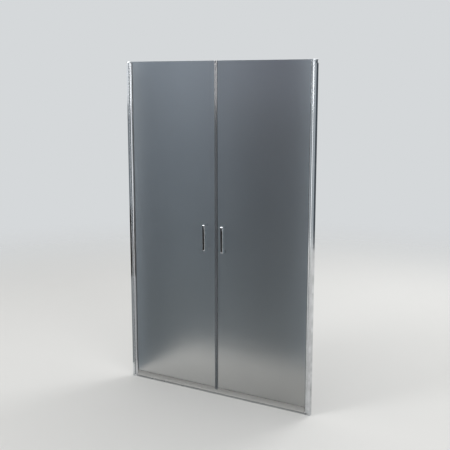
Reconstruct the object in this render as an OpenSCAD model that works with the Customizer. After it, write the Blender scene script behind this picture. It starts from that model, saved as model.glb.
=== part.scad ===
// Two-leaf swing door for a shower niche, in frosted glass with chromed profiles.
// Each leaf hangs on a round-backed pivot stile that turns on a pin at its foot and a pin at its head.
// Origin: middle of the door, on the shower tray. X runs along the door, -Y is the outside, +Z is up.
// Everything at the side is drawn for the left side. The right side is its mirror image.

/* [Overall] */
// Distance between the two walls that the door closes
opening_w = 1220; // [900:5:1500]
// Height from the tray to the top of the head brackets
door_h = 1950; // [1750:5:2100]

/* [Wall profile] */
// Depth of the wall profile, across the door
wall_profile_d = 25; // [24:0.5:32]
// How far the wall profile stands off the wall
wall_profile_w = 12; // [11:0.5:20]
// Wall thickness of the wall profile
wall_profile_t = 1.5; // [1:0.1:2]
// How far the wall profile ends below the top of the door
wall_profile_drop = 20; // [8:0.5:40]
// Radius of the wall screw holes
wall_hole_r = 2.6; // [2:0.1:3.5]
// Distance from one wall screw hole to the next, four holes to a side
wall_hole_pitch = 550; // [300:10:560]

/* [Hinge post] */
// Space between the wall and the back of the hinge post, which takes up a wall out of plumb
post_back = 4; // [2.5:0.1:4.5]
// Wall thickness of the hinge post
post_t = 1.5; // [1:0.1:1.8]
// Gap on each side between the hinge post and the wall profile
post_fit = 0.2; // [0.1:0.05:0.4]
// Radius of the screw ports in the ends of the hinge post
port_r = 1.75; // [1.5:0.05:1.9]

/* [Locking screws] */
// Distance from one locking screw to the next, three screws to a side
lock_pitch = 750; // [500:10:760]
// Radius of a locking screw's shank
lock_r = 1.7; // [1.4:0.1:1.9]
// Length of a locking screw under its head
lock_len = 6; // [4:0.5:7]
// Radius of a locking screw's head
lock_head_r = 3; // [2.4:0.1:3.2]
// Height of a locking screw's head
lock_head_h = 1.8; // [1.2:0.1:2.4]
// Wall thickness of the snap cap over a locking screw
lock_cap_t = 0.8; // [0.6:0.1:1]

/* [Pivot stile] */
// Radius of the round back of the stile
stile_r = 7; // [6.5:0.1:9]
// Distance from the pivot axis to the ends of the jaws that hold the glass
stile_reach = 11.5; // [11:0.5:16]
// Thickness of each jaw
jaw_t = 1.5; // [1:0.1:1.8]
// Radius of the round chamber that takes the pivot end caps
chamber_r = 4.2; // [3.6:0.1:4.6]
// Material between the chamber and the glass slot
slot_floor_t = 1.3; // [1:0.1:1.6]
// Gap between the round back and its hollow seat in the hinge post
seat_gap = 0.5; // [0.4:0.05:1]
// Gap between the jaws and the seat's edges when the leaf stands square to the door
swing_gap = 0.7; // [0.5:0.1:1.5]

/* [Pivots] */
// Radius of the steel pivot pins
pin_r = 2.5; // [2:0.1:2.8]
// Running clearance between a pin and its bush, on the radius
pin_fit = 0.05; // [0.02:0.01:0.09]
// Wall thickness of the bushes
bush_t = 1.8; // [1.2:0.1:2.2]
// Radius of the bush flanges
bush_flange_r = 5.2; // [4.8:0.1:5.4]
// Thickness of the bush flanges
bush_flange_t = 1; // [0.6:0.1:1.6]
// Gap between a bush flange and the end cap that turns above or below it
thrust_gap = 0.2; // [0.1:0.05:0.5]
// Thickness of the plate of a pivot end cap
end_cap_t = 1.2; // [0.8:0.1:2]
// Length of the plug of a pivot end cap, inside the stile
end_plug_len = 20; // [12:1:40]
// Height of the foot brackets that stand on the tray
foot_h = 10; // [8:0.5:12]
// Height of the head brackets
head_h = 6; // [5:0.5:7]
// Material left between a bracket's blind bore and its outer face
bracket_roof_t = 1.5; // [1:0.1:2]
// Radius of the round nose of the head bracket, which the edge of the glass swings round
head_nose_r = 5.5; // [5.4:0.05:5.6]
// Radius of the round nose of the foot bracket
foot_nose_r = 8; // [7.5:0.1:9]

/* [Bracket screws] */
// Radius of the bracket screws
bracket_screw_r = 1.7; // [1.4:0.05:1.75]
// Length of the bracket screws in the hinge post
bracket_screw_grip = 14; // [8:1:25]
// Radius of their countersunk heads
bracket_head_r = 3.2; // [2.8:0.1:3.6]

/* [Glass] */
// Thickness of the toughened glass
glass_t = 6; // [5:0.5:6.5]
// Height of the lower edge of the glass above the tray
glass_lift = 28; // [24:1:40]
// How far the glass ends below the top of the door
glass_drop = 1; // [0.5:0.5:7]
// Thickness of the glazing gasket between glass and stile
gasket_t = 0.5; // [0.3:0.1:0.6]
// How far the gasket's lips stand out of the jaws
gasket_lip = 2.5; // [0.5:0.1:3]

/* [Meeting seals] */
// Gap between the two meeting seals
seam_gap = 0.5; // [0.4:0.1:2]
// Width of one meeting seal
meeting_seal_w = 8.3; // [7.5:0.1:14]
// Thickness of the seal's legs on the glass
seal_leg_t = 1; // [0.6:0.1:1.4]
// Width of the magnet strip inside each meeting seal
magnet_w = 2; // [1.5:0.1:2.5]
// Depth of the magnet strip, across the door
magnet_d = 6.2; // [4:0.1:6.4]
// Wall between the magnet strip and the meeting face
seal_face_t = 0.5; // [0.4:0.1:0.8]
// Wall between the magnet strip and the edge of the glass
seal_web_t = 0.8; // [0.6:0.1:1.2]

/* [Bottom seal] */
// How far the bottom seal grips up the glass
bottom_grip = 14; // [8:0.5:20]
// Thickness of the bottom seal's web under the glass
bottom_web_t = 1.2; // [0.8:0.1:2]
// Thickness of its skirt and of its drip fin
fin_t = 0.9; // [0.6:0.1:1.2]
// How far the drip fin reaches inwards from the middle of the glass
fin_reach = 6.5; // [5:0.1:6.8]
// Gap between the gasket's lips and the end of the bottom seal
seal_end_gap = 0.3; // [0.2:0.1:1]
// Gap between the skirt and the top of the sill strip
skirt_gap = 2; // [0.5:0.1:3]

/* [Sill strip] */
// Width of the sill strip
sill_w = 18; // [14:0.5:24]
// Height of its domed top
sill_h = 5.5; // [5:0.5:9]
// Wall thickness of the sill strip
sill_t = 1.2; // [0.8:0.1:1.6]
// Thickness of the plate of its end caps
sill_cap_t = 2; // [1:0.1:4]
// Gap between the end caps and the foot brackets
sill_end_gap = 0.5; // [0.3:0.1:0.9]

/* [Handles] */
// Height of the middle of the handles above the tray
handle_z = 950; // [850:5:1100]
// Distance between the two holes of a handle
handle_pitch = 145; // [120:1:200]
// Distance from the middle of the door to each handle
handle_edge = 60; // [30:1:90]
// Width of the handle's bar
handle_w = 14; // [10:0.5:18]
// Thickness of the handle's bar, front to back
handle_bar_t = 14; // [8:0.5:16]
// Height of each handle post
handle_post_h = 14; // [10:0.5:18]
// Distance from the feet of the posts to the front of the bar
handle_depth = 42; // [34:1:60]
// Radius of the rounded outer corners
handle_corner_r = 9; // [4:0.5:12]
// Width of the chamfer along the front edges of the bar
handle_chamfer = 1; // [0.5:0.1:2]
// Radius of the handle screws
handle_screw_r = 2.5; // [2:0.1:2.6]
// How deep a handle screw goes into its post
handle_screw_grip = 10; // [6:0.5:16]
// Radius of the holes in the glass
glass_hole_r = 5; // [4.4:0.1:6]
// Radius of the washers on both faces of the glass
washer_r = 7; // [6.6:0.1:9]
// Thickness of those washers
washer_t = 1; // [0.5:0.1:1.5]
// Radius of the cover discs on the inside
rosette_r = 9; // [8:0.1:12]
// Thickness of the cover discs
rosette_t = 5; // [4:0.1:8]

/* [Hidden] */
$fn = 64;

CHROME = "#d4d7da";
ALUMINIUM = "#b9bdc1";
STEEL = "#9aa0a5";
NYLON = "#e6e6e2";
SEAL = "#6a6f73";
MAGNET = "#2b2b2c";
FROSTED_GLASS = "#878c90";

// Clearances that hold for every push fit and every drilled hole
slip = 0.05;
cut_past = 1;

// Plan of one side, measured from the wall towards the middle of the door
wall_x = -opening_w / 2;
pivot_u = wall_profile_w + seat_gap + stile_r;
jaw_half = glass_t / 2 + gasket_t + jaw_t;
slot_half = glass_t / 2 + gasket_t;
slot_floor_u = pivot_u + chamber_r + slot_floor_t;
stile_end_u = pivot_u + stile_reach;
glass_edge_u = slot_floor_u + gasket_t;
post_half = wall_profile_d / 2 - wall_profile_t - post_fit;
post_web_u = wall_profile_w - post_t;
horn_u = pivot_u - jaw_half - swing_gap;
port_wall = 1.1;
port_boss_r = port_r + port_wall;
port_u = (post_back + post_t + post_web_u) / 2;
port_y = post_half - post_t - port_boss_r + port_wall / 2;
bracket_u = wall_profile_t + post_fit;
nose_u = pivot_u + foot_nose_r;

// Heights
wall_profile_top = door_h - wall_profile_drop;
head_z = door_h - head_h;
stile_bottom = foot_h + bush_flange_t + thrust_gap + end_cap_t;
stile_top = head_z - bush_flange_t - thrust_gap - end_cap_t;
glass_top = door_h - glass_drop;
wall_hole_z = [for (i = [-1.5, -0.5, 0.5, 1.5]) door_h / 2 + i * wall_hole_pitch];
bush_r = pin_r + pin_fit + bush_t;
pin_end_gap = 0.3;

// Middle of the door
seam_x = -seam_gap / 2;
magnet_x = seam_x - seal_face_t - slip - magnet_w;
pane_edge_x = magnet_x - slip - seal_web_t;
seal_end_x = seam_x - meeting_seal_w;
seal_half = glass_t / 2 + seal_leg_t;
skirt_z = sill_h + skirt_gap;
sill_end_x = wall_x + nose_u + sill_end_gap;

// Handle
foot_y = -glass_t / 2 - washer_t;
handle_front_y = foot_y - handle_depth;
handle_half = (handle_pitch + handle_post_h) / 2;
rosette_y = glass_t / 2 + washer_t;
handle_head_r = handle_screw_r + 2.2;
handle_head_h = 2.4;

// Locking screws
lock_cap_room = 0.3;
lock_cap_r = lock_head_r + lock_cap_room + lock_cap_t;
lock_cap_h = lock_head_h + lock_cap_room + lock_cap_t;
lock_u = wall_profile_w - lock_cap_r - lock_cap_room;
lock_z = [for (i = [-1, 0, 1]) door_h / 2 + i * lock_pitch];

// Turns what is drawn for the left side into the right side
module right_side() {
    mirror([1, 0, 0]) children();
}

// Stands a plan section up between two heights, with its zero at the wall
module upright(z0, z1) {
    translate([wall_x, 0, z0])
        linear_extrude(z1 - z0)
            children();
}

// Lays a section of depth and height along the door, from x0 to x1
module along_door(x0, x1) {
    translate([x0, 0, 0])
        rotate([90, 0, 90])
            linear_extrude(x1 - x0)
                children();
}

// Sets pieces where the two screws of the left handle run, with +Z of each piece pointing inwards
module at_handle_screws(y) {
    for (side = [-1, 1])
        translate([-handle_edge, y, handle_z + side * handle_pitch / 2])
            rotate([-90, 0, 0])
                children();
}

// Sets pieces at the locking screws, with +Z of each piece pointing into the shower
module at_lock_screws(y) {
    for (z = lock_z)
        translate([wall_x + lock_u, y, z])
            rotate([-90, 0, 0])
                children();
}

// Sets pieces on the screw ports, at one height
module at_ports(z) {
    for (side = [-1, 1])
        translate([wall_x + port_u, side * port_y, z])
            children();
}

// ---------- Pieces that are fixed to the walls and the tray ----------

module wall_profile_section() {
    bead_u = wall_profile_w - wall_profile_t / 2;
    bead_y = (wall_profile_d - wall_profile_t) / 2;
    difference() {
        union() {
            translate([0, -wall_profile_d / 2])
                square([bead_u, wall_profile_d]);
            for (side = [-1, 1])
                translate([bead_u, side * bead_y])
                    circle(r = wall_profile_t / 2);
        }
        translate([wall_profile_t, -wall_profile_d / 2 + wall_profile_t])
            square([wall_profile_w, wall_profile_d - 2 * wall_profile_t]);
    }
}

// U channel, screwed to the wall through its web
module wall_profile() {
    color(CHROME)
        difference() {
            upright(0, wall_profile_top) wall_profile_section();
            for (z = wall_hole_z)
                translate([wall_x - cut_past, 0, z])
                    rotate([0, 90, 0])
                        cylinder(r = wall_hole_r, h = wall_profile_t + 2 * cut_past);
            at_lock_screws(wall_profile_d / 2 - wall_profile_t - cut_past / 4)
                cylinder(r = lock_r + slip, h = wall_profile_t + cut_past);
        }
}

module hinge_post_section() {
    difference() {
        translate([post_back, -post_half])
            square([horn_u - post_back, 2 * post_half]);
        translate([pivot_u, 0])
            circle(r = stile_r + seat_gap);
        difference() {
            translate([post_back + post_t, -post_half + post_t])
                square([post_web_u - post_back - post_t, 2 * (post_half - post_t)]);
            for (side = [-1, 1])
                translate([port_u, side * port_y])
                    circle(r = port_boss_r);
        }
        for (side = [-1, 1])
            translate([port_u, side * port_y])
                circle(r = port_r);
    }
}

// Box section in the wall profile, with a hollow seat for the round back of the stile
module hinge_post() {
    color(CHROME)
        difference() {
            upright(foot_h, head_z) hinge_post_section();
            at_lock_screws(wall_profile_d / 2 - lock_len - cut_past)
                cylinder(r = lock_r + slip, h = lock_len);
        }
}

// Pan head screw with a cross slot
module lock_screw() {
    slot_w = 0.8;
    slot_l = 1.3 * lock_head_r;
    difference() {
        union() {
            translate([0, 0, -lock_len])
                cylinder(r = lock_r, h = lock_len);
            cylinder(r = lock_head_r, h = lock_head_h);
        }
        for (turn = [0, 90])
            rotate(turn)
                translate([-slot_l / 2, -slot_w / 2, lock_head_h / 2])
                    cube([slot_l, slot_w, lock_head_h]);
    }
}

module lock_screws() {
    color(STEEL) at_lock_screws(wall_profile_d / 2) lock_screw();
}

// Snap cap with a domed edge over the head of a locking screw
module lock_screw_cap() {
    inner_r = lock_cap_r - lock_cap_t;
    inner_h = lock_cap_h - lock_cap_t;
    bevel = lock_cap_t;
    rotate_extrude()
        polygon([
            [0, inner_h], [inner_r, inner_h], [inner_r, 0], [lock_cap_r, 0],
            [lock_cap_r, lock_cap_h - bevel], [lock_cap_r - bevel, lock_cap_h], [0, lock_cap_h]
        ]);
}

module lock_screw_caps() {
    color(CHROME) at_lock_screws(wall_profile_d / 2) lock_screw_cap();
}

// Plan of a bracket: a block between the legs of the wall profile, and a neck with a round nose
module bracket_section(neck_half, nose_r) {
    translate([bracket_u, -post_half])
        square([horn_u - bracket_u, 2 * post_half]);
    polygon([
        [horn_u, -neck_half], [pivot_u, -nose_r],
        [pivot_u, nose_r], [horn_u, neck_half]
    ]);
    translate([pivot_u, 0])
        circle(r = nose_r);
}

// Countersunk screw that points down from height zero
module bracket_screw(length) {
    head_h = bracket_head_r - bracket_screw_r;
    slot_w = 0.7;
    slot_l = 1.2 * bracket_head_r;
    difference() {
        union() {
            translate([0, 0, -length])
                cylinder(r = bracket_screw_r, h = length);
            translate([0, 0, -head_h])
                cylinder(r1 = bracket_screw_r, r2 = bracket_head_r, h = head_h);
        }
        for (turn = [0, 90])
            rotate(turn)
                translate([-slot_l / 2, -slot_w / 2, -head_h / 2])
                    cube([slot_l, slot_w, head_h]);
    }
}

// Hole for that screw, through a bracket
module bracket_screw_hole(length) {
    head_h = bracket_head_r - bracket_screw_r;
    translate([0, 0, -length - cut_past])
        cylinder(r = bracket_screw_r + slip, h = length + cut_past);
    translate([0, 0, -head_h])
        cylinder(r1 = bracket_screw_r + slip, r2 = bracket_head_r + slip, h = head_h);
    translate([0, 0, -slip / 2])
        cylinder(r = bracket_head_r + slip, h = cut_past);
}

// Cast bracket on top of the hinge post, which holds the upper bush. The glass ends level with it,
// so its neck is slim enough for the edge of the glass to swing past.
module head_bracket() {
    color(CHROME)
        difference() {
            upright(head_z, door_h) bracket_section(head_nose_r, head_nose_r);
            translate([wall_x + pivot_u, 0, head_z - cut_past])
                cylinder(r = bush_r + slip, h = head_h - bracket_roof_t + cut_past);
            at_ports(door_h) bracket_screw_hole(head_h);
        }
}

// Cast bracket on the tray, under the hinge post, which carries the leaf on its bush
module foot_bracket() {
    color(CHROME)
        difference() {
            upright(0, foot_h) bracket_section(post_half, foot_nose_r);
            translate([wall_x + pivot_u, 0, bracket_roof_t])
                cylinder(r = bush_r + slip, h = foot_h);
            at_ports(0) mirror([0, 0, 1]) bracket_screw_hole(foot_h);
        }
}

module bracket_screws() {
    color(STEEL) {
        at_ports(door_h) bracket_screw(head_h + bracket_screw_grip);
        at_ports(0) mirror([0, 0, 1]) bracket_screw(foot_h + bracket_screw_grip);
    }
}

// Flanged bush, standing on its flange's upper face at height zero, with its sleeve below
module pivot_bush(sleeve) {
    difference() {
        union() {
            translate([0, 0, -bush_flange_t])
                cylinder(r = bush_flange_r, h = bush_flange_t);
            translate([0, 0, -bush_flange_t - sleeve])
                cylinder(r = bush_r, h = sleeve);
        }
        translate([0, 0, -bush_flange_t - sleeve - cut_past])
            cylinder(r = pin_r + pin_fit, h = sleeve + bush_flange_t + 2 * cut_past);
    }
}

module pivot_bushes() {
    color(NYLON) {
        translate([wall_x + pivot_u, 0, foot_h + bush_flange_t])
            pivot_bush(foot_h - bracket_roof_t);
        translate([wall_x + pivot_u, 0, head_z - bush_flange_t])
            mirror([0, 0, 1])
                pivot_bush(head_h - bracket_roof_t);
    }
}

// Domed outline of the sill strip: a slice of a circle on two short upright edges
module sill_outline(inset) {
    edge_h = 1.5;
    rise = sill_h - edge_h;
    dome_r = (pow(sill_w / 2, 2) + pow(rise, 2)) / (2 * rise);
    half = sill_w / 2 - inset;
    intersection() {
        translate([-half, inset])
            square([2 * half, sill_h]);
        union() {
            translate([0, sill_h - dome_r])
                circle(r = dome_r - inset, $fn = 128);
            translate([-half, 0])
                square([2 * half, edge_h]);
        }
    }
}

// Threshold bonded to the tray between the foot brackets
module sill_strip() {
    color(ALUMINIUM)
        along_door(sill_end_x + sill_cap_t, -sill_end_x - sill_cap_t)
            difference() {
                sill_outline(0);
                sill_outline(sill_t);
            }
}

module sill_end_cap() {
    spigot = 8;
    along_door(sill_end_x, sill_end_x + sill_cap_t) sill_outline(0);
    along_door(sill_end_x + sill_cap_t, sill_end_x + sill_cap_t + spigot) sill_outline(sill_t + slip);
}

module sill_end_caps() {
    color(NYLON) {
        sill_end_cap();
        right_side() sill_end_cap();
    }
}

// ---------- Pieces of one leaf ----------

module stile_outline(inset) {
    tip_r = jaw_t / 2;
    translate([pivot_u, 0])
        circle(r = stile_r - inset);
    translate([pivot_u, -jaw_half + inset])
        square([stile_reach - tip_r, 2 * (jaw_half - inset)]);
    for (side = [-1, 1])
        translate([stile_end_u - tip_r, side * (jaw_half - tip_r)])
            circle(r = tip_r - inset);
}

// Extruded stile: a round back that turns in the hinge post, and two jaws for the glass
module pivot_stile() {
    color(CHROME)
        upright(stile_bottom, stile_top)
            difference() {
                stile_outline(0);
                translate([pivot_u, 0])
                    circle(r = chamber_r);
                translate([slot_floor_u, -slot_half])
                    square([stile_reach, 2 * slot_half]);
            }
}

module end_cap_outline() {
    plate_inset = 0.15;
    translate([pivot_u, 0])
        circle(r = stile_r - plate_inset);
    translate([pivot_u, -jaw_half + plate_inset])
        square([stile_reach - plate_inset, 2 * (jaw_half - plate_inset)]);
}

// Notch in the upper end cap, where the glass passes up through it
module glass_notch() {
    notch_gap = 0.3;
    translate([glass_edge_u - notch_gap, -glass_t / 2 - notch_gap])
        square([stile_reach, glass_t + 2 * notch_gap]);
}

// End cap: a plate that closes the stile's end, and a plug in its round chamber that holds the pin
module pivot_end_cap() {
    difference() {
        union() {
            linear_extrude(end_cap_t) children();
            translate([pivot_u, 0, end_cap_t])
                cylinder(r = chamber_r - slip, h = end_plug_len);
        }
        translate([pivot_u, 0, -cut_past])
            cylinder(r = pin_r + slip / 2, h = end_cap_t + end_plug_len + 2 * cut_past);
    }
}

module pivot_end_caps() {
    color(NYLON) {
        translate([wall_x, 0, stile_bottom - end_cap_t])
            pivot_end_cap() end_cap_outline();
        translate([wall_x, 0, stile_top + end_cap_t])
            mirror([0, 0, 1])
                pivot_end_cap()
                    difference() {
                        end_cap_outline();
                        glass_notch();
                    }
    }
}

// Steel pin with bevelled ends, from z0 to z1
module pivot_pin(z0, z1) {
    bevel = 0.4;
    translate([wall_x + pivot_u, 0, z0])
        rotate_extrude()
            polygon([
                [0, 0], [pin_r - bevel, 0], [pin_r, bevel],
                [pin_r, z1 - z0 - bevel], [pin_r - bevel, z1 - z0], [0, z1 - z0]
            ]);
}

module pivot_pins() {
    color(STEEL) {
        pivot_pin(bracket_roof_t + pin_end_gap, stile_bottom + end_plug_len);
        pivot_pin(stile_top - end_plug_len, door_h - bracket_roof_t - pin_end_gap);
    }
}

// U gasket round the edge of the glass in the stile's slot
module glazing_gasket() {
    color(SEAL)
        upright(glass_lift, stile_top)
            difference() {
                translate([slot_floor_u, -slot_half])
                    square([stile_end_u + gasket_lip - slot_floor_u, 2 * slot_half]);
                translate([glass_edge_u, -glass_t / 2])
                    square([stile_reach, glass_t]);
            }
}

// Toughened pane, with two holes for the handle
module glass_pane() {
    pane_x = wall_x + glass_edge_u;
    color(FROSTED_GLASS)
        difference() {
            translate([pane_x, -glass_t / 2, glass_lift])
                cube([pane_edge_x - pane_x, glass_t, glass_top - glass_lift]);
            at_handle_screws(-glass_t / 2 - cut_past)
                cylinder(r = glass_hole_r, h = glass_t + 2 * cut_past);
        }
}

// Extruded seal on the free edge of the glass, with a chamber for the magnet strip
module meeting_seal() {
    face_bevel = 0.4;
    color(SEAL)
        translate([0, 0, glass_lift])
            linear_extrude(glass_top - glass_lift)
                difference() {
                    polygon([
                        [seal_end_x, -seal_half], [seam_x - face_bevel, -seal_half],
                        [seam_x, -seal_half + face_bevel], [seam_x, seal_half - face_bevel],
                        [seam_x - face_bevel, seal_half], [seal_end_x, seal_half]
                    ]);
                    translate([seal_end_x - cut_past, -glass_t / 2])
                        square([pane_edge_x - seal_end_x + cut_past, glass_t]);
                    translate([magnet_x - slip, -magnet_d / 2 - slip])
                        square([magnet_w + 2 * slip, magnet_d + 2 * slip]);
                }
}

// Flexible magnet that draws the two leaves together
module magnet_strip() {
    color(MAGNET)
        translate([magnet_x, -magnet_d / 2, glass_lift])
            cube([magnet_w, magnet_d, glass_top - glass_lift]);
}

// Below the glass: a web, a skirt on the outside and a drip fin on the inside, as depth and height
module bottom_seal_skirt() {
    web_z = glass_lift - bottom_web_t;
    fin_root_z = web_z - 5;
    fin_tip_z = skirt_z + 4;
    polygon([
        [-seal_half, glass_lift], [-seal_half, skirt_z],
        [-seal_half + fin_t, skirt_z], [-seal_half + fin_t, web_z],
        [0, web_z], [0, fin_root_z], [fin_reach - fin_t, fin_tip_z], [fin_reach, fin_tip_z],
        [fin_t, fin_root_z + fin_t / 2], [fin_t, web_z],
        [seal_half, web_z], [seal_half, glass_lift]
    ]);
}

// Push-on seal along the lower edge of the glass
module bottom_seal() {
    start_x = wall_x + stile_end_u + gasket_lip + seal_end_gap;
    color(SEAL) {
        along_door(start_x, seal_end_x - slip)
            for (side = [-1, 1])
                translate([side * (glass_t + seal_leg_t) / 2 - seal_leg_t / 2, glass_lift])
                    square([seal_leg_t, bottom_grip]);
        along_door(start_x, seam_x - seam_gap / 2) bottom_seal_skirt();
    }
}

// Side view of the handle, as depth and height
module handle_outline() {
    bar_back_y = handle_front_y + handle_bar_t;
    inner_half = handle_half - handle_post_h;
    inner_r = 4;
    difference() {
        union() {
            translate([handle_front_y + handle_corner_r, -handle_half])
                square([handle_depth - handle_corner_r, 2 * handle_half]);
            translate([handle_front_y, -handle_half + handle_corner_r])
                square([handle_corner_r, 2 * (handle_half - handle_corner_r)]);
            for (side = [-1, 1])
                translate([handle_front_y + handle_corner_r, side * (handle_half - handle_corner_r)])
                    circle(r = handle_corner_r);
        }
        translate([bar_back_y + inner_r, -inner_half])
            square([handle_depth, 2 * inner_half]);
        translate([bar_back_y, -inner_half + inner_r])
            square([handle_depth, 2 * (inner_half - inner_r)]);
        for (side = [-1, 1])
            translate([bar_back_y + inner_r, side * (inner_half - inner_r)])
                circle(r = inner_r);
    }
}

// Plan of the handle, with its two front edges chamfered
module handle_plan() {
    half = handle_w / 2;
    polygon([
        [-half, foot_y], [-half, handle_front_y + handle_chamfer],
        [-half + handle_chamfer, handle_front_y], [half - handle_chamfer, handle_front_y],
        [half, handle_front_y + handle_chamfer], [half, foot_y]
    ]);
}

// D handle in one piece, with a threaded blind hole in each foot
module handle() {
    color(CHROME)
        difference() {
            translate([0, 0, handle_z])
                intersection() {
                    along_door(-handle_edge - handle_w / 2, -handle_edge + handle_w / 2)
                        handle_outline();
                    translate([-handle_edge, 0, -handle_half])
                        linear_extrude(2 * handle_half)
                            handle_plan();
                }
            at_handle_screws(foot_y - handle_screw_grip - cut_past)
                cylinder(r = handle_screw_r + slip, h = handle_screw_grip + 2 * cut_past);
        }
}

// Top-hat bush in each hole of the glass, and a washer on the inner face
module handle_bushes() {
    bore_r = handle_screw_r + 4 * slip;
    sleeve = glass_t - 4 * slip;
    color(NYLON) {
        at_handle_screws(foot_y)
            difference() {
                union() {
                    cylinder(r = washer_r, h = washer_t);
                    cylinder(r = glass_hole_r - slip, h = washer_t + sleeve);
                }
                translate([0, 0, -cut_past])
                    cylinder(r = bore_r, h = washer_t + glass_t + 2 * cut_past);
            }
        at_handle_screws(glass_t / 2)
            difference() {
                cylinder(r = washer_r, h = washer_t);
                translate([0, 0, -cut_past])
                    cylinder(r = bore_r, h = washer_t + 2 * cut_past);
            }
    }
}

// Countersunk screw with a hex socket, through the cover disc and the glass into the handle
module handle_screw() {
    sink = 0.6;
    socket_r = 1.75;
    top = rosette_t - sink;
    length = top + 2 * washer_t + glass_t + handle_screw_grip;
    difference() {
        union() {
            translate([0, 0, top - length])
                cylinder(r = handle_screw_r, h = length);
            translate([0, 0, top - handle_head_h])
                cylinder(r1 = handle_screw_r, r2 = handle_head_r, h = handle_head_h);
        }
        translate([0, 0, top - 1.6])
            cylinder(r = socket_r, h = 2, $fn = 6);
    }
}

module handle_screws() {
    color(STEEL) at_handle_screws(rosette_y) handle_screw();
}

// Cover disc on the inner face, which takes the head of the handle screw
module handle_rosette() {
    sink = 0.6;
    bevel = 1;
    seat_r = handle_head_r + slip;
    bore_r = handle_screw_r + slip;
    head_top = rosette_t - sink;
    rotate_extrude()
        polygon([
            [bore_r, 0], [rosette_r, 0], [rosette_r, rosette_t - bevel],
            [rosette_r - bevel, rosette_t], [seat_r, rosette_t],
            [seat_r, head_top], [bore_r, head_top - handle_head_h]
        ]);
}

module handle_rosettes() {
    color(CHROME) at_handle_screws(rosette_y) handle_rosette();
}

wall_profile();  // wall_profile_left
right_side() wall_profile();  // wall_profile_right
hinge_post();  // hinge_post_left
right_side() hinge_post();  // hinge_post_right
lock_screws();  // lock_screws_left
right_side() lock_screws();  // lock_screws_right
lock_screw_caps();  // lock_screw_caps_left
right_side() lock_screw_caps();  // lock_screw_caps_right
head_bracket();  // head_bracket_left
right_side() head_bracket();  // head_bracket_right
foot_bracket();  // foot_bracket_left
right_side() foot_bracket();  // foot_bracket_right
bracket_screws();  // bracket_screws_left
right_side() bracket_screws();  // bracket_screws_right
pivot_bushes();  // pivot_bushes_left
right_side() pivot_bushes();  // pivot_bushes_right
sill_strip();
sill_end_caps();
pivot_stile();  // pivot_stile_left
right_side() pivot_stile();  // pivot_stile_right
pivot_end_caps();  // pivot_end_caps_left
right_side() pivot_end_caps();  // pivot_end_caps_right
pivot_pins();  // pivot_pins_left
right_side() pivot_pins();  // pivot_pins_right
glazing_gasket();  // glazing_gasket_left
right_side() glazing_gasket();  // glazing_gasket_right
glass_pane();  // glass_pane_left
right_side() glass_pane();  // glass_pane_right
meeting_seal();  // meeting_seal_left
right_side() meeting_seal();  // meeting_seal_right
magnet_strip();  // magnet_strip_left
right_side() magnet_strip();  // magnet_strip_right
bottom_seal();  // bottom_seal_left
right_side() bottom_seal();  // bottom_seal_right
handle();  // handle_left
right_side() handle();  // handle_right
handle_bushes();  // handle_bushes_left
right_side() handle_bushes();  // handle_bushes_right
handle_screws();  // handle_screws_left
right_side() handle_screws();  // handle_screws_right
handle_rosettes();  // handle_rosettes_left
right_side() handle_rosettes();  // handle_rosettes_right
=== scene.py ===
import math

import bmesh
import bpy
from mathutils import Matrix, Vector


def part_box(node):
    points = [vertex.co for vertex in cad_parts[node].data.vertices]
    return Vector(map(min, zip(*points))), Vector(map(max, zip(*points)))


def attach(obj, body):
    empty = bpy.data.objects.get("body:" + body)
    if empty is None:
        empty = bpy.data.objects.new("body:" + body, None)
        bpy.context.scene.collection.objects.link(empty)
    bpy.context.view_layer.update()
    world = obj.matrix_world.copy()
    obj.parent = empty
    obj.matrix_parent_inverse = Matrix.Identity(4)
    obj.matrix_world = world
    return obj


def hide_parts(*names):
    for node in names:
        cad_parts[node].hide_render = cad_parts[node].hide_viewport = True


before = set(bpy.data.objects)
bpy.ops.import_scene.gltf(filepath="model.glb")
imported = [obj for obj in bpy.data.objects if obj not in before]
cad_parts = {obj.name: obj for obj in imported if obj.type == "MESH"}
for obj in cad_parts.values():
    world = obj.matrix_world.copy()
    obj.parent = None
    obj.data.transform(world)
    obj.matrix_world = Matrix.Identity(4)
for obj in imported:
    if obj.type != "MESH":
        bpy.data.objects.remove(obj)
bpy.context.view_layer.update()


# ---- Wall profiles ----
# Two U channels stand at the sides of the door and carry the rest of it. Each is an aluminium extrusion,
# polished and chrome plated, and is screwed on flat through its web before the hinge post goes in.

def linear(hex_colour):
    """Turns an sRGB hex colour into the linear colour that a shader takes."""
    channels = [int(hex_colour[i:i + 2], 16) / 255 for i in (1, 3, 5)]
    return [c / 12.92 if c <= 0.04045 else ((c + 0.055) / 1.055) ** 2.4 for c in channels] + [1]


def per_metre(millimetres):
    """How often a pattern of this real size fits into a metre, which is its scale in a texture."""
    return 1000 / millimetres


def add_node(tree, kind, inputs=None, **settings):
    """Adds a node with its settings. An input is a plain value or another node's output."""
    node = tree.nodes.new(kind)
    for name, value in settings.items():
        setattr(node, name, value)
    for key, value in (inputs or {}).items():
        if isinstance(value, bpy.types.NodeSocket):
            tree.links.new(value, node.inputs[key])
        else:
            node.inputs[key].default_value = value
    return node


def new_finish(name, constants):
    """Starts a finish: its material, its node tree and its shader, with the constant values set."""
    finish = bpy.data.materials.new(name)
    finish.use_nodes = True
    shader = finish.node_tree.nodes["Principled BSDF"]
    for socket, value in constants.items():
        shader.inputs[socket].default_value = value
    return finish, finish.node_tree, shader


# Where a Mix node keeps its two colours and the mixed one, among sockets that share their names.
FIRST_COLOUR, SECOND_COLOUR, MIXED_COLOUR = 6, 7, 2


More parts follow.
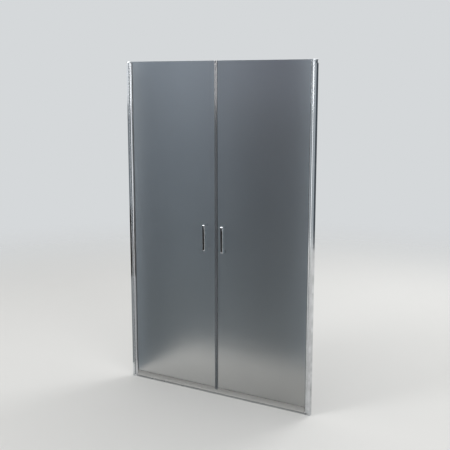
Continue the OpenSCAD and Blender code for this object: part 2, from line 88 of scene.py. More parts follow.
def tone_and_gloss(tree, shader, tone_noise, tones, gloss_noise, roughness, span=(0, 1)):
    """Runs a finish from tone to tone by one noise, and from polished to dull by another or the same."""
    tone = add_node(tree, "ShaderNodeMix", {
        "Factor": tone_noise, FIRST_COLOUR: linear(tones[0]), SECOND_COLOUR: linear(tones[1])},
        data_type="RGBA")
    gloss = add_node(tree, "ShaderNodeMapRange", {
        "Value": gloss_noise, "From Min": span[0], "From Max": span[1],
        "To Min": roughness[0], "To Max": roughness[1]})
    tree.links.new(tone.outputs[MIXED_COLOUR], shader.inputs["Base Color"])
    tree.links.new(gloss.outputs[0], shader.inputs["Roughness"])


def finish_nodes(finish, *names):
    """Gives CAD nodes their finish."""
    for name in names:
        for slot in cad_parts[name].material_slots:
            slot.material = finish


def both_sides(*names):
    """The left and the right node of each name."""
    return [f"{name}_{side}" for name in names for side in ("left", "right")]


# Chromed aluminium extrusion. Die lines 0.7 mm apart run along it and pull its reflections lengthwise,
# and wiping leaves soft cloudy smears about 60 mm wide.
die_line_gap, die_line_run = 0.7, 250
chromed_aluminium, tree, shader = new_finish("chromed aluminium extrusion", {"Metallic": 1.0})
place = add_node(tree, "ShaderNodeTexCoord").outputs["Object"]
upright = add_node(tree, "ShaderNodeMapping", {
    "Vector": place, "Scale": (per_metre(die_line_gap), per_metre(die_line_gap), per_metre(die_line_run))})
die_lines = add_node(tree, "ShaderNodeTexNoise", {
    "Vector": upright.outputs[0], "Scale": 1.0, "Detail": 2.0})
smears = add_node(tree, "ShaderNodeTexNoise", {"Vector": place, "Scale": per_metre(60), "Detail": 3.0})
tone_and_gloss(tree, shader, die_lines.outputs["Fac"], ("#d3d6d9", "#e1e3e5"),
               smears.outputs["Fac"], (0.05, 0.13), span=(0.3, 0.75))
ripple = add_node(tree, "ShaderNodeBump", {
    "Height": die_lines.outputs["Fac"], "Strength": 0.12, "Distance": 0.03 / 1000})
tree.links.new(ripple.outputs[0], shader.inputs["Normal"])

finish_nodes(chromed_aluminium, *both_sides("wall_profile"))


# ---- Hinge posts ----
# A box extrusion slides in each wall profile and takes up an opening that is out of plumb. Its front is
# hollowed out for the round back of the stile. It is made and plated as the wall profile is.

finish_nodes(chromed_aluminium, *both_sides("hinge_post"))


# ---- Locking screws and their caps ----
# Three stainless pan head screws a side lock the post in the wall profile from the inside of the door.
# A chromed snap cap of moulded ABS covers each head.

# Turned stainless steel. A fine grain and a dull satin sheen, a little warmer and darker than the chrome.
stainless, tree, shader = new_finish("turned stainless steel", {"Metallic": 1.0})
place = add_node(tree, "ShaderNodeTexCoord").outputs["Object"]
grain = add_node(tree, "ShaderNodeTexNoise", {"Vector": place, "Scale": per_metre(0.4), "Detail": 3.0})
tone_and_gloss(tree, shader, grain.outputs["Fac"], ("#9a9c9c", "#b3b4b3"),
               grain.outputs["Fac"], (0.24, 0.4))

# Chromed zinc casting. A deep mirror over a slightly wavy skin, with swells about 8 mm apart, and marks
# of wiping about 20 mm wide.
chromed_zinc, tree, shader = new_finish("chromed zinc casting", {"Metallic": 1.0})
place = add_node(tree, "ShaderNodeTexCoord").outputs["Object"]
swells = add_node(tree, "ShaderNodeTexNoise", {"Vector": place, "Scale": per_metre(8), "Detail": 1.0})
wiping = add_node(tree, "ShaderNodeTexNoise", {"Vector": place, "Scale": per_metre(20), "Detail": 4.0})
tone_and_gloss(tree, shader, wiping.outputs["Fac"], ("#d0d3d6", "#e3e5e7"),
               wiping.outputs["Fac"], (0.03, 0.1), span=(0.3, 0.8))
skin = add_node(tree, "ShaderNodeBump", {
    "Height": swells.outputs["Fac"], "Strength": 0.1, "Distance": 0.1 / 1000})
tree.links.new(skin.outputs[0], shader.inputs["Normal"])


def fillet(r, h, radius, start, end, steps=6):
    """Points of a fillet on a turned piece, round a centre at radius r and height h, between two angles."""
    turns = [math.radians(start + (end - start) * i / steps) for i in range(steps + 1)]
    return [(r + radius * math.cos(a), h + radius * math.sin(a)) for a in turns]


def turned(profile, finish):
    """A turned piece: a closed half section of (radius, height) points in millimetres, spun round its
    axis and laid over, so that its height points inwards, along +Y."""
    shape = bmesh.new()
    section = [shape.verts.new((r / 1000, 0, h / 1000)) for r, h in profile]
    outline = [shape.edges.new((section[i], section[(i + 1) % len(section)])) for i in range(len(section))]
    bmesh.ops.spin(shape, geom=section + outline, axis=(0, 0, 1), cent=(0, 0, 0), angle=math.tau, steps=48,
                   use_merge=True)
    bmesh.ops.remove_doubles(shape, verts=shape.verts, dist=1e-6)
    on_the_axis = [edge for edge in shape.edges if not edge.link_faces]
    bmesh.ops.delete(shape, geom=on_the_axis, context="EDGES")
    bmesh.ops.recalc_face_normals(shape, faces=shape.faces)
    shape.transform(Matrix.Rotation(math.radians(-90), 4, "X"))
    mesh = bpy.data.meshes.new("turned piece")
    shape.to_mesh(mesh)
    shape.free()
    mesh.set_sharp_from_angle(angle=math.radians(35))
    mesh.materials.append(finish)
    return bpy.data.objects.new("turned piece", mesh)


def build_row_group():
    """The node group that sets equal pieces in a row: so many of them, from a first place, at one step."""
    group = bpy.data.node_groups.new("row of pieces", "GeometryNodeTree")
    sockets = [("Piece", "NodeSocketObject"), ("Count", "NodeSocketInt"), ("First", "NodeSocketVector"),
               ("Step", "NodeSocketVector"), ("Finish", "NodeSocketMaterial")]
    for name, kind in sockets:
        group.interface.new_socket(name, in_out="INPUT", socket_type=kind)
    group.interface.new_socket("Geometry", in_out="OUTPUT", socket_type="NodeSocketGeometry")
    given = add_node(group, "NodeGroupInput").outputs
    places = add_node(group, "GeometryNodeMeshLine", {
        "Count": given["Count"], "Start Location": given["First"], "Offset": given["Step"]}, mode="OFFSET")
    piece = add_node(group, "GeometryNodeObjectInfo", {"Object": given["Piece"]})
    copies = add_node(group, "GeometryNodeInstanceOnPoints", {
        "Points": places.outputs["Mesh"], "Instance": piece.outputs["Geometry"]})
    solid = add_node(group, "GeometryNodeRealizeInstances", {"Geometry": copies.outputs["Instances"]})
    finished = add_node(group, "GeometryNodeSetMaterial", {
        "Geometry": solid.outputs["Geometry"], "Material": given["Finish"]})
    add_node(group, "NodeGroupOutput", {"Geometry": finished.outputs["Geometry"]})
    return group


row_of_pieces = build_row_group()


def row_at_node(name, node, piece, radius, count, finish):
    """A row of round pieces, one above the other, in the place of a CAD node. The node group is run once
    and its result kept as a plain mesh, whose object sits at the origin."""
    low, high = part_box(node)
    pitch = (high[2] - low[2] - 2 * radius / 1000) / (count - 1)
    values = {"Piece": piece, "Count": count, "Finish": finish, "Step": Vector((0, 0, pitch)),
              "First": Vector(((low[0] + high[0]) / 2, low[1], low[2] + radius / 1000))}
    row = bpy.data.objects.new(name, bpy.data.meshes.new(name))
    bpy.context.scene.collection.objects.link(row)
    modifier = row.modifiers.new("making", "NODES")
    modifier.node_group = row_of_pieces
    for socket in row_of_pieces.interface.items_tree:
        if socket.in_out == "INPUT":
            modifier[socket.identifier] = values[socket.name]
    made = bpy.data.meshes.new_from_object(row.evaluated_get(bpy.context.evaluated_depsgraph_get()))
    row.modifiers.remove(modifier)
    row.data = made
    return row


def stand_for(piece, node, body):
    """The piece rides on its body and shows in place of its CAD node, which is hidden."""
    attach(piece, body)
    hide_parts(node)


# A cap in millimetres: a thin cup whose crown rises a little, at a slope in degrees, above its soft edge.
# Its chrome looks as it does on the castings.
cap_radius, cap_height, cap_wall, cap_edge = 4.1, 2.9, 0.8, 1.1
crown_rise, crown_slope = 0.1, 6
cup_radius, cup_height = cap_radius - cap_wall, cap_height - cap_wall
cap_profile = [
    (0, cap_height),
    *fillet(cap_radius - cap_edge, cap_height - crown_rise - cap_edge, cap_edge, 90 - crown_slope, 0),
    (cap_radius, 0), (cup_radius, 0), (cup_radius, cup_height), (0, cup_height)]
snap_cap = turned(cap_profile, chromed_zinc)

for side in ("left", "right"):
    caps = row_at_node(f"snap_caps_{side}", f"lock_screw_caps_{side}", snap_cap,
                       radius=cap_radius, count=3, finish=chromed_zinc)
    stand_for(caps, f"lock_screw_caps_{side}", "frame")

finish_nodes(stainless, *both_sides("lock_screws"))


# ---- Head and foot brackets ----
# A zinc casting closes each end of a hinge post and holds a pivot over or under the stile. The castings
# are tumbled before plating, so every edge is softened. They are screwed into the ports of the post.

HARD_TURN = math.radians(28)


def merged_copy(node):
    """The shape of a CAD node with its loose triangles joined into whole faces."""
    shape = bmesh.new()
    shape.from_mesh(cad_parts[node].data)
    bmesh.ops.remove_doubles(shape, verts=shape.verts, dist=2e-6)
    bmesh.ops.dissolve_limit(shape, angle_limit=math.radians(0.5), verts=shape.verts, edges=shape.edges)
    return shape


def hard_edges(shape, stays_crisp):
    """The edges where a shape turns sharply, apart from those whose middle, in millimetres, is at a place
    that stays crisp."""
    return [edge for edge in shape.edges if edge.calc_face_angle(0) > HARD_TURN
            and not stays_crisp((edge.verts[0].co + edge.verts[1].co) / 2 * 1000)]


def new_piece(name, shape, *finishes):
    """A piece of its own from a shape, with its finishes."""
    mesh = bpy.data.meshes.new(name)
    shape.to_mesh(mesh)
    shape.free()
    for finish in finishes:
        mesh.materials.append(finish)
    piece = bpy.data.objects.new(name, mesh)
    bpy.context.scene.collection.objects.link(piece)
    return piece


def softened(name, node, radius, finish, stays_crisp):
    """A copy of a CAD node with its edges rounded, apart from those at places that stay crisp."""
    shape = merged_copy(node)
    softness = shape.edges.layers.float.new("bevel_weight_edge")
    rounded = set(hard_edges(shape, stays_crisp))
    for edge in shape.edges:
        edge[softness] = 1.0 if edge in rounded else 0.0
        edge.smooth = edge in rounded or edge.calc_face_angle(0) <= HARD_TURN
    for face in shape.faces:
        face.smooth = True
    piece = new_piece(name, shape, finish)
    edges = piece.modifiers.new("softened edges", "BEVEL")
    edges.width, edges.segments, edges.limit_method = radius / 1000, 3, "WEIGHT"
    edges.use_clamp_overlap, edges.harden_normals = False, True
    made = bpy.data.meshes.new_from_object(piece.evaluated_get(bpy.context.evaluated_depsgraph_get()))
    piece.modifiers.remove(edges)
    piece.data = made
    return piece


# In millimetres: how round the edges are, and how far the crisp bore and countersinks lie from the
# middle of the door, with the radius that each takes up.
bracket_softness = 0.35
pivot_x, bore_reach = 590.5, 4.8
port_x, port_y, countersink_reach = 602, 7.0, 3.6


def at_a_bore(place):
    """Whether a place on a bracket, in millimetres, is at the pivot's bore or at a screw's countersink."""
    x, y = abs(place.x), abs(place.y)
    return math.hypot(x - pivot_x, y) < bore_reach or math.hypot(x - port_x, y - port_y) < countersink_reach


for bracket in both_sides("head_bracket", "foot_bracket"):
    casting = softened(f"{bracket}_casting", bracket, bracket_softness, chromed_zinc, at_a_bore)
    stand_for(casting, bracket, "frame")

finish_nodes(stainless, *both_sides("bracket_screws"))


# ---- Pivot bushes ----
# Flanged bushes pressed into the brackets carry the leaf. They are injection moulded in natural nylon,
# which runs against the steel pins without oil.

# Moulded natural nylon. A milky white that lets a little light in, with a soft sheen over a faint orange
# peel 0.6 mm across.
orange_peel = 0.6
nylon, tree, shader = new_finish("moulded natural nylon", {
    "IOR": 1.53, "Subsurface Weight": 0.15, "Subsurface Radius": (0.002, 0.002, 0.0018)})
place = add_node(tree, "ShaderNodeTexCoord").outputs["Object"]
peel = add_node(tree, "ShaderNodeTexNoise", {
    "Vector": place, "Scale": per_metre(orange_peel), "Detail": 2.0})
tone_and_gloss(tree, shader, peel.outputs["Fac"], ("#dcdcd6", "#ecece7"), peel.outputs["Fac"], (0.35, 0.5))
dimples = add_node(tree, "ShaderNodeBump", {
    "Height": peel.outputs["Fac"], "Strength": 0.15, "Distance": 0.05 / 1000})
tree.links.new(dimples.outputs[0], shader.inputs["Normal"])

finish_nodes(nylon, *both_sides("pivot_bushes"))


# ---- Sill strip and its end caps ----
# A low domed threshold of chromed aluminium is bonded down under the leaves and keeps the water in.
# A grey nylon cap is pushed into each of its ends.

# Moulded grey nylon. A quiet mid grey with a soft, even sheen.
grey_nylon, tree, shader = new_finish("moulded grey nylon", {"IOR": 1.53})
place = add_node(tree, "ShaderNodeTexCoord").outputs["Object"]
peel = add_node(tree, "ShaderNodeTexNoise", {
    "Vector": place, "Scale": per_metre(orange_peel), "Detail": 2.0})
tone_and_gloss(tree, shader, peel.outputs["Fac"], ("#8e9294", "#9fa3a5"), peel.outputs["Fac"], (0.38, 0.52))

# Chromed aluminium sill. Its die lines run across the door, and it is greyer and duller than the other
# extrusions, with scuffs about 30 mm wide.
sill_chrome, tree, shader = new_finish("chromed aluminium sill", {"Metallic": 1.0})
place = add_node(tree, "ShaderNodeTexCoord").outputs["Object"]
level = add_node(tree, "ShaderNodeMapping", {
    "Vector": place, "Scale": (per_metre(die_line_run), per_metre(die_line_gap), per_metre(die_line_gap))})
die_lines = add_node(tree, "ShaderNodeTexNoise", {"Vector": level.outputs[0], "Scale": 1.0, "Detail": 2.0})
scuffs = add_node(tree, "ShaderNodeTexNoise", {"Vector": place, "Scale": per_metre(30), "Detail": 4.0})
tone_and_gloss(tree, shader, die_lines.outputs["Fac"], ("#b4b4b2", "#c6c6c3"),
               scuffs.outputs["Fac"], (0.26, 0.4), span=(0.3, 0.8))

finish_nodes(sill_chrome, "sill_strip")
finish_nodes(grey_nylon, "sill_end_caps")


# ---- Pivot stiles ----
# The extrusion that carries a leaf: its round back turns in the hollow of the hinge post, and two jaws
# hold the glass. A grey nylon cap with a stainless pin plugs each of its ends.

finish_nodes(chromed_aluminium, *both_sides("pivot_stile"))
finish_nodes(grey_nylon, *both_sides("pivot_end_caps"))
finish_nodes(stainless, *both_sides("pivot_pins"))


# ---- Glazing gaskets ----
# A soft channel of extruded rubber sits between the glass and the jaws of the stile. It is pushed over
# the edge of the pane before the pane goes in.

# Extruded gasket rubber. A matt dark grey, slightly chalky in patches about 15 mm wide where it was wiped.
gasket_rubber, tree, shader = new_finish("extruded gasket rubber", {"IOR": 1.5, "Specular IOR Level": 0.35})
place = add_node(tree, "ShaderNodeTexCoord").outputs["Object"]
chalk = add_node(tree, "ShaderNodeTexNoise", {"Vector": place, "Scale": per_metre(15), "Detail": 4.0})
tone_and_gloss(tree, shader, chalk.outputs["Fac"], ("#2f3234", "#45494b"), chalk.outputs["Fac"], (0.5, 0.7))

finish_nodes(gasket_rubber, *both_sides("glazing_gasket"))


# ---- Glass ----
# A pane of 6 mm toughened float glass in each leaf, satin etched, so that it lets light through but blurs
# what stands behind it. Its edges are ground flat and polished with a fine arris.

# Satin etched glass. A velvet grain and very faint clouds about 350 mm wide. The grain is drawn 1.5 mm
# wide, because the real one is too fine to show.
satin_glass, tree, shader = new_finish("satin etched glass", {
    "IOR": 1.5, "Transmission Weight": 1.0, "Specular IOR Level": 0.35})
place = add_node(tree, "ShaderNodeTexCoord").outputs["Object"]
etch = add_node(tree, "ShaderNodeTexNoise", {"Vector": place, "Scale": per_metre(1.5), "Detail": 2.0})
clouds = add_node(tree, "ShaderNodeTexNoise", {"Vector": place, "Scale": per_metre(350), "Detail": 2.0})
tone_and_gloss(tree, shader, clouds.outputs["Fac"], ("#c3c4c3", "#cdcdcb"),
               etch.outputs["Fac"], (0.3, 0.38), span=(0.3, 0.7))
velvet = add_node(tree, "ShaderNodeBump", {
    "Height": etch.outputs["Fac"], "Strength": 0.08, "Distance": 0.05 / 1000})
tree.links.new(velvet.outputs[0], shader.inputs["Normal"])

# Polished glass edge. Clear, dark and a little green, with marks of grinding 3 mm apart.
polished_edge, tree, shader = new_finish("polished glass edge", {"IOR": 1.5, "Transmission Weight": 1.0})
place = add_node(tree, "ShaderNodeTexCoord").outputs["Object"]
grinding = add_node(tree, "ShaderNodeTexNoise", {"Vector": place, "Scale": per_metre(3), "Detail": 2.0})
tone_and_gloss(tree, shader, grinding.outputs["Fac"], ("#8fb0a9", "#9dbcb5"),
               grinding.outputs["Fac"], (0.06, 0.14))

# In millimetres: the arris, and the part of a pane round the two holes for its handle, which stays crisp.
arris = 0.5
holes_x, holes_z, holes_reach_x, holes_reach_z = 60, 950, 12, 90


def at_a_handle_hole(place):
    """Whether a place on a pane, in millimetres, is at one of the two holes for the handle's screws."""
    return abs(abs(place.x) - holes_x) < holes_reach_x and abs(place.z - holes_z) < holes_reach_z


for side in ("left", "right"):
    shape = merged_copy(f"glass_pane_{side}")
    rim = hard_edges(shape, at_a_handle_hole)
    bmesh.ops.bevel(shape, geom=rim, offset=arris / 1000, segments=1, affect="EDGES")
    for face in shape.faces:
        face.smooth = False
        looks_outwards_or_inwards = abs(face.normal.y) > 0.5
        face.material_index = 0 if looks_outwards_or_inwards else 1
    pane = new_piece(f"glass_{side}", shape, satin_glass, polished_edge)
    stand_for(pane, f"glass_pane_{side}", f"leaf_{side}")


# ---- Meeting seals ----
# A PVC extrusion is pushed on the free edge of each pane, and a strip of magnetic rubber in its chamber
# draws the two leaves together.

# Extruded smoky PVC. Half clear and dark grey, glossy, with faint lines of flow 1 mm apart along it.
flow_gap, flow_run = 1, 80
smoky_pvc, tree, shader = new_finish("extruded smoky PVC", {"IOR": 1.52, "Transmission Weight": 0.5})
place = add_node(tree, "ShaderNodeTexCoord").outputs["Object"]
upright = add_node(tree, "ShaderNodeMapping", {
    "Vector": place, "Scale": (per_metre(flow_gap), per_metre(flow_gap), per_metre(flow_run))})
flow = add_node(tree, "ShaderNodeTexNoise", {"Vector": upright.outputs[0], "Scale": 1.0, "Detail": 2.0})
tone_and_gloss(tree, shader, flow.outputs["Fac"], ("#696e73", "#767b80"), flow.outputs["Fac"], (0.08, 0.18))

# Extruded ferrite rubber. Almost black and dull, with a dusty grain 1 mm across.
magnet_rubber, tree, shader = new_finish("extruded ferrite rubber", {"IOR": 1.5})
place = add_node(tree, "ShaderNodeTexCoord").outputs["Object"]
dust = add_node(tree, "ShaderNodeTexNoise", {"Vector": place, "Scale": per_metre(1), "Detail": 3.0})
tone_and_gloss(tree, shader, dust.outputs["Fac"], ("#1c1d1f", "#2a2b2d"), dust.outputs["Fac"], (0.6, 0.75))

finish_nodes(smoky_pvc, *both_sides("meeting_seal"))
finish_nodes(magnet_rubber, *both_sides("magnet_strip"))


# ---- Bottom seals ----
# A PVC extrusion is pushed on the lower edge of each pane. Its skirt hangs down to the sill strip on the
# outside, and a soft fin on the inside throws the water back.

# Extruded clear PVC. Clear with a pale haze, and the same lines of flow, here from side to side.
clear_pvc, tree, shader = new_finish("extruded clear PVC", {"IOR": 1.52, "Transmission Weight": 0.6})
place = add_node(tree, "ShaderNodeTexCoord").outputs["Object"]
level = add_node(tree, "ShaderNodeMapping", {
    "Vector": place, "Scale": (per_metre(flow_run), per_metre(flow_gap), per_metre(flow_gap))})
flow = add_node(tree, "ShaderNodeTexNoise", {"Vector": level.outputs[0], "Scale": 1.0, "Detail": 2.0})
tone_and_gloss(tree, shader, flow.outputs["Fac"], ("#c8c8c6", "#d6d6d4"), flow.outputs["Fac"], (0.18, 0.3))

finish_nodes(clear_pvc, *both_sides("bottom_seal"))


# ---- Handles ----
# A D handle of cast zinc, polished and chromed, stands on the outside of each leaf, with a slim chamfer
# along each front edge of its bar. Two screws from the inside clamp it, in nylon bushes in the holes of
# the glass. The head of each sits in a turned cover disc.

# In millimetres: how round the handle's edges are, and where the feet of its posts begin, which stay crisp.
handle_softness, feet_y = 0.3, -4.05


def at_the_feet(place):
    """Whether a place on a handle, in millimetres, is at the flat feet of its posts."""
    return place.y > feet_y


# A cover disc in millimetres, with a soft rim, and a seat that narrows to the bore for the screw.
disc_radius, disc_height, disc_edge = 9.0, 5.0, 1.6
seat_radius, seat_edge, seat_top = 4.75, 0.35, 4.4
bore_radius, bore_top = 2.55, 2.0
disc_profile = [
    (bore_radius, 0), (disc_radius, 0),
    *fillet(disc_radius - disc_edge, disc_height - disc_edge, disc_edge, 0, 90),
    *fillet(seat_radius + seat_edge, disc_height - seat_edge, seat_edge, 90, 180, 3),
    (seat_radius, seat_top), (bore_radius, bore_top)]
cover_disc = turned(disc_profile, chromed_zinc)

for side in ("left", "right"):
    bar = softened(f"handle_{side}_casting", f"handle_{side}", handle_softness, chromed_zinc, at_the_feet)
    stand_for(bar, f"handle_{side}", f"leaf_{side}")
    discs = row_at_node(f"cover_discs_{side}", f"handle_rosettes_{side}", cover_disc,
                        radius=disc_radius, count=2, finish=chromed_zinc)
    stand_for(discs, f"handle_rosettes_{side}", f"leaf_{side}")

finish_nodes(nylon, *both_sides("handle_bushes"))
finish_nodes(stainless, *both_sides("handle_screws"))


# ---- Studio floor ----
# A plain pale floor takes the shadow of the door. It is a disc that fades out into the pale background
# well before it ends.

FLOOR_RADIUS, FADE_START, FADE_END = 6.5, 2.5, 6.2

pale_floor, tree, shader = new_finish("pale studio floor", {
    "Base Color": linear("#dededc"), "Roughness": 0.85, "Specular IOR Level": 0.1})
place = add_node(tree, "ShaderNodeTexCoord").outputs["Object"]
reach = add_node(tree, "ShaderNodeVectorMath", {0: place}, operation="LENGTH")
fade = add_node(tree, "ShaderNodeMapRange", {
    "Value": reach.outputs["Value"], "From Min": FADE_START, "From Max": FADE_END},
    interpolation_type="SMOOTHSTEP")
gone = add_node(tree, "ShaderNodeBsdfTransparent")
blend = add_node(tree, "ShaderNodeMixShader", {
    0: fade.outputs[0], 1: shader.outputs[0], 2: gone.outputs[0]})
tree.links.new(blend.outputs[0], tree.nodes["Material Output"].inputs["Surface"])

disc = bmesh.new()
bmesh.ops.create_circle(disc, cap_ends=True, segments=96, radius=FLOOR_RADIUS)
floor = new_piece("floor", disc, pale_floor)
floor.location.z = -0.5 / 1000  # just under the sill strip


# ---- Studio cards ----
# Plain cards stand round the door and lie on the floor. The camera does not see them: some show only in
# the chrome, which needs light and dark to reflect, and some only through the glass and the clear seals.

def studio_wall(name, corners, low, high, finish):
    """An upright card that follows a closed line of corners round the door."""
    wall = bmesh.new()
    rows = [[wall.verts.new((x, y, z)) for x, y in corners] for z in (low, high)]
    for i in range(len(corners)):
        after = (i + 1) % len(corners)
        wall.faces.new((rows[0][i], rows[0][after], rows[1][after], rows[1][i]))
    return new_piece(name, wall, finish)


def flat_card(name, place, width, height, finish, turn=(0, 0, 0)):
    """A rectangular card with its middle at a place."""
    sheet = bmesh.new()
    bmesh.ops.create_grid(sheet, x_segments=1, y_segments=1, size=0.5)
    card = new_piece(name, sheet, finish)
    card.location, card.rotation_euler, card.scale = place, turn, (width, height, 1)
    return card


# In the chrome: a high ring that glows in soft upright bands of painted light and dark, which the chrome
# reflects. A band's position runs once round the door, with 0 at its left, 0.25 in front of it, 0.5 at its
# right and 0.75 behind it.
RING_RADIUS, RING_LOW, RING_HIGH, RING_STEP = 7.0, -1.0, 4.0, 4
RING_BANDS = [
    (0.0, "#4c5259"), (0.085, "#444a4f"), (0.11, "#8f9498"), (0.136, "#62676b"), (0.165, "#666b6f"),
    (0.185, "#85898d"), (0.205, "#94999c"), (0.235, "#f2f3f3"), (0.34, "#fafafa"), (0.36, "#41464b"),
    (0.62, "#363b40"), (0.74, "#41464b"), (0.79, "#a8acaf"), (0.84, "#41464b")]
# The ring is no lamp: its bands glow as painted light for the chrome to reflect.
glowing_band_card, tree, shader = new_finish("banded light card", {
    "Base Color": linear("#000000"), "Roughness": 1.0, "Specular IOR Level": 0.0, "Emission Strength": 1.6})
place = add_node(tree, "ShaderNodeTexCoord").outputs["Object"]
round_door = add_node(tree, "ShaderNodeTexGradient", {"Vector": place}, gradient_type="RADIAL")
bands = add_node(tree, "ShaderNodeValToRGB", {"Fac": round_door.outputs["Fac"]})
stops = bands.color_ramp.elements
stops.remove(stops[1])
for i, (position, colour) in enumerate(RING_BANDS):
    stop = stops.new(position) if i else stops[0]
    stop.position, stop.color = position, linear(colour)
tree.links.new(bands.outputs["Color"], shader.inputs["Emission Color"])
ring_line = [(RING_RADIUS * math.cos(math.radians(a)), RING_RADIUS * math.sin(math.radians(a)))
             for a in range(0, 360, RING_STEP)]
room_card = studio_wall("room_card", ring_line, RING_LOW, RING_HIGH, glowing_band_card)

# Through the glass: four upright cards close round the door, painted blue grey. Painted light makes them
# lighter at the left and low down, and a painted glow makes them paler still right beside the door and on
# the right part of the card behind it.
BOX_X, BOX_Y, BOX_HEIGHT = 0.64, 0.7, 2.6
blue_grey_painted_light, tree, shader = new_finish("blue grey card with painted light", {"Roughness": 1.0, "Specular IOR Level": 0.0})
place = add_node(tree, "ShaderNodeTexCoord").outputs["Object"]
where = add_node(tree, "ShaderNodeSeparateXYZ", {0: place})
# Painted light: the upper part of the card is lighter at the left.
from_left = add_node(tree, "ShaderNodeMapRange", {
    "Value": where.outputs["X"], "From Min": -BOX_X, "From Max": 0.0})
upper_painted_light = add_node(tree, "ShaderNodeMix", {
    "Factor": from_left.outputs[0], FIRST_COLOUR: linear("#7d8da0"), SECOND_COLOUR: linear("#4a546b")},
    data_type="RGBA")
# Painted light: the card is lighter low down.
height = add_node(tree, "ShaderNodeMapRange", {
    "Value": where.outputs["Z"], "From Min": 0.3, "From Max": 2.2})
painted_light_by_height = add_node(tree, "ShaderNodeMix", {
    "Factor": height.outputs[0], FIRST_COLOUR: linear("#858f97"),
    SECOND_COLOUR: upper_painted_light.outputs[MIXED_COLOUR]}, data_type="RGBA")
# Painted glow: paler right beside the door and on the right part of the card behind it.
depth = add_node(tree, "ShaderNodeMath", {0: where.outputs["Y"]}, operation="ABSOLUTE")
beside_door = add_node(tree, "ShaderNodeMapRange", {
    "Value": depth.outputs[0], "From Min": 0.05, "From Max": 0.22, "To Min": 1.0, "To Max": 0.0})
at_right = add_node(tree, "ShaderNodeMapRange", {
    "Value": where.outputs["X"], "From Min": 0.22, "From Max": 0.29})
painted_glow_parts = add_node(tree, "ShaderNodeMath", {
    0: beside_door.outputs[0], 1: at_right.outputs[0]}, operation="MAXIMUM")
paint = add_node(tree, "ShaderNodeMix", {
    "Factor": painted_glow_parts.outputs[0], FIRST_COLOUR: painted_light_by_height.outputs[MIXED_COLOUR],
    SECOND_COLOUR: linear("#b9c5d1")}, data_type="RGBA")
tree.links.new(paint.outputs[MIXED_COLOUR], shader.inputs["Base Color"])
box_line = [(BOX_X, BOX_Y), (-BOX_X, BOX_Y), (-BOX_X, -BOX_Y), (BOX_X, -BOX_Y)]
niche_card = studio_wall("niche_card", box_line, 0.0, BOX_HEIGHT, blue_grey_painted_light)

# In the chrome: a large pale card on the floor, marbled in grey, with clouds a quarter of a metre wide.
CARD_SIZE = 8.0
marbled_paper, tree, shader = new_finish("marbled card", {"Roughness": 1.0, "Specular IOR Level": 0.0})
place = add_node(tree, "ShaderNodeTexCoord").outputs["Object"]
real_size = add_node(tree, "ShaderNodeMapping", {"Vector": place, "Scale": (CARD_SIZE, CARD_SIZE, 1.0)})
veins = add_node(tree, "ShaderNodeTexNoise", {
    "Vector": real_size.outputs[0], "Scale": per_metre(250), "Detail": 5.0, "Distortion": 1.2})
strength = add_node(tree, "ShaderNodeMapRange", {
    "Value": veins.outputs["Fac"], "From Min": 0.35, "From Max": 0.65})
marble = add_node(tree, "ShaderNodeMix", {
    "Factor": strength.outputs[0], FIRST_COLOUR: linear("#bcbbb9"), SECOND_COLOUR: linear("#f0efed")},
    data_type="RGBA")
tree.links.new(marble.outputs[MIXED_COLOUR], shader.inputs["Base Color"])
tile_card = flat_card("tile_card", place=(0, 0, -0.0003), width=CARD_SIZE, height=CARD_SIZE,
                      finish=marbled_paper)

# In the chrome too: a grey card on the floor and a dark one that stands low, both in front at the left.
grey_paper, tree, shader = new_finish("grey card", {
    "Base Color": linear("#8b8e90"), "Roughness": 1.0, "Specular IOR Level": 0.0})
mat_card = flat_card("mat_card", place=(-1.6, -1.25, -0.0002), width=1.7, height=2.3, finish=grey_paper)
dark_paper, tree, shader = new_finish("dark card", {
    "Base Color": linear("#1b1514"), "Roughness": 1.0, "Specular IOR Level": 0.0})
dark_card = flat_card("dark_card", place=(-1.6, -2.4, 0.33), width=1.6, height=0.66, finish=dark_paper,
                      turn=(math.radians(90), 0, math.radians(-30)))

# Through the glass: a card on the floor behind the door, with painted shade that darkens it to the right.
shade_painted_paper, tree, shader = new_finish("graded card", {"Roughness": 1.0, "Specular IOR Level": 0.0})
place = add_node(tree, "ShaderNodeTexCoord").outputs["Object"]
where = add_node(tree, "ShaderNodeSeparateXYZ", {0: place})
# Painted shade: the card runs from pale at the left to darker at the right.
to_right = add_node(tree, "ShaderNodeMapRange", {
    "Value": where.outputs["X"], "From Min": -0.25, "From Max": 0.33})
graded = add_node(tree, "ShaderNodeMix", {
    "Factor": to_right.outputs[0], FIRST_COLOUR: linear("#e4e4e2"), SECOND_COLOUR: linear("#bcbcba")},
    data_type="RGBA")
tree.links.new(graded.outputs[MIXED_COLOUR], shader.inputs["Base Color"])
tray_card = flat_card("tray_card", place=(0, 0.36, 0.0004), width=1.28, height=0.68, finish=shade_painted_paper)

for card in (room_card, tile_card, dark_card, mat_card, niche_card, tray_card):
    card.visible_camera = card.visible_diffuse = card.visible_volume_scatter = card.visible_shadow = False
    card.visible_transmission = card in (niche_card, tray_card)
    card.visible_glossy = not card.visible_transmission


# ---- Lamps and background ----
# Soft boxes light the door: a large key lamp high in front at the left, a weak wide one and a narrow one
# below it for the shine of the profiles and the seam, a fill lamp at the right and one behind the door.

def soft_lamp(name, place, aim, width, height, power):
    """A soft box at a place, turned to what it lights."""
    light = bpy.data.lights.new(name, "AREA")
    light.shape, light.size, light.size_y, light.energy = "RECTANGLE", width, height, power
    lamp = bpy.data.objects.new(name, light)
    lamp.location = place
    lamp.rotation_euler = (Vector(aim) - Vector(place)).to_track_quat("-Z", "Y").to_euler()
    lamp.visible_camera = False
    bpy.context.scene.collection.objects.link(lamp)


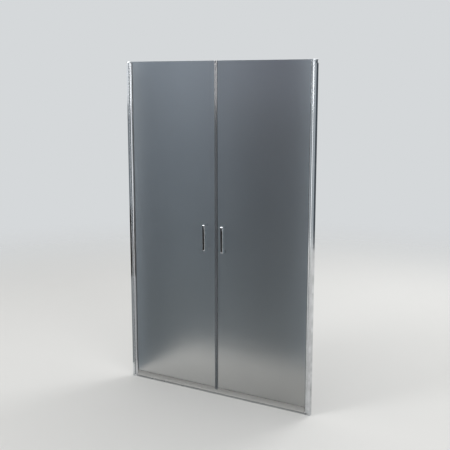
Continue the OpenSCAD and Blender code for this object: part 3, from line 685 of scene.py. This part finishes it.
soft_lamp("key_lamp", place=(-3.3, -5.2, 3.95), aim=(0, 0, 1.2), width=2.6, height=2.2, power=118)
soft_lamp("window_lamp", place=(-4.45, -5.1, 2.25), aim=(-0.6, 0, 1.8), width=1.5, height=1.5, power=5)
soft_lamp("strip_lamp", place=(-3.4, -5.66, 2.0), aim=(0, 0, 1.8), width=0.7, height=1.0, power=17)
soft_lamp("fill_lamp", place=(3.6, -2.6, 3.4), aim=(0, 0, 0.9), width=2.0, height=2.0, power=30)
soft_lamp("back_lamp", place=(1.2, 3.4, 3.6), aim=(0, 0.2, 0.4), width=2.0, height=2.0, power=60)

# The background shows pale to the camera, in the chrome and through the glass, and is a little darker
# high up. It lights the door as an even white.
SEEN_STRENGTH, LIGHT_STRENGTH = 1.0, 0.7
world = bpy.data.worlds.new("studio")
bpy.context.scene.world = world
world.use_nodes = True
tree = world.node_tree
tree.nodes.clear()
direction = add_node(tree, "ShaderNodeTexCoord").outputs["Generated"]
where = add_node(tree, "ShaderNodeSeparateXYZ", {0: direction})
rise = add_node(tree, "ShaderNodeMapRange", {
    "Value": where.outputs["Z"], "From Min": 0.08, "From Max": 0.6}, interpolation_type="SMOOTHSTEP")
pale = add_node(tree, "ShaderNodeMix", {
    "Factor": rise.outputs[0], FIRST_COLOUR: linear("#d5d8da"), SECOND_COLOUR: linear("#b6bcc2")},
    data_type="RGBA")
seen = add_node(tree, "ShaderNodeBackground", {
    "Color": pale.outputs[MIXED_COLOUR], "Strength": SEEN_STRENGTH})
light = add_node(tree, "ShaderNodeBackground", {"Color": linear("#ffffff"), "Strength": LIGHT_STRENGTH})
rays = add_node(tree, "ShaderNodeLightPath")
direct = add_node(tree, "ShaderNodeMath", {
    0: rays.outputs["Is Camera Ray"], 1: rays.outputs["Is Glossy Ray"]}, operation="MAXIMUM")
shown = add_node(tree, "ShaderNodeMath", {
    0: direct.outputs[0], 1: rays.outputs["Is Transmission Ray"]}, operation="MAXIMUM")
mixed = add_node(tree, "ShaderNodeMixShader", {
    0: shown.outputs[0], 1: light.outputs[0], 2: seen.outputs[0]})
add_node(tree, "ShaderNodeOutputWorld", {"Surface": mixed.outputs[0]})


# ---- Camera ----
# It stands in front at the right of the door, 1.85 m high, turned 30 degrees to the left and 10 degrees
# down. The focal length is given in pixels of the square picture, which is 450 pixels wide.

FOCAL_PIXELS, FRAME_PIXELS, SENSOR = 788.1, 450, 36.0
TURN, DIP = math.radians(30.35), math.radians(10.46)
lens = bpy.data.cameras.new("camera")
lens.sensor_width = SENSOR
lens.lens = FOCAL_PIXELS / FRAME_PIXELS * SENSOR
lens.clip_end = 50
camera = bpy.data.objects.new("camera", lens)
camera.location = (2.290, -3.813, 1.846)
camera.rotation_euler = (math.radians(90) - DIP, 0, TURN)
bpy.context.scene.collection.objects.link(camera)
bpy.context.scene.camera = camera
bpy.context.scene.view_settings.view_transform = "Standard"
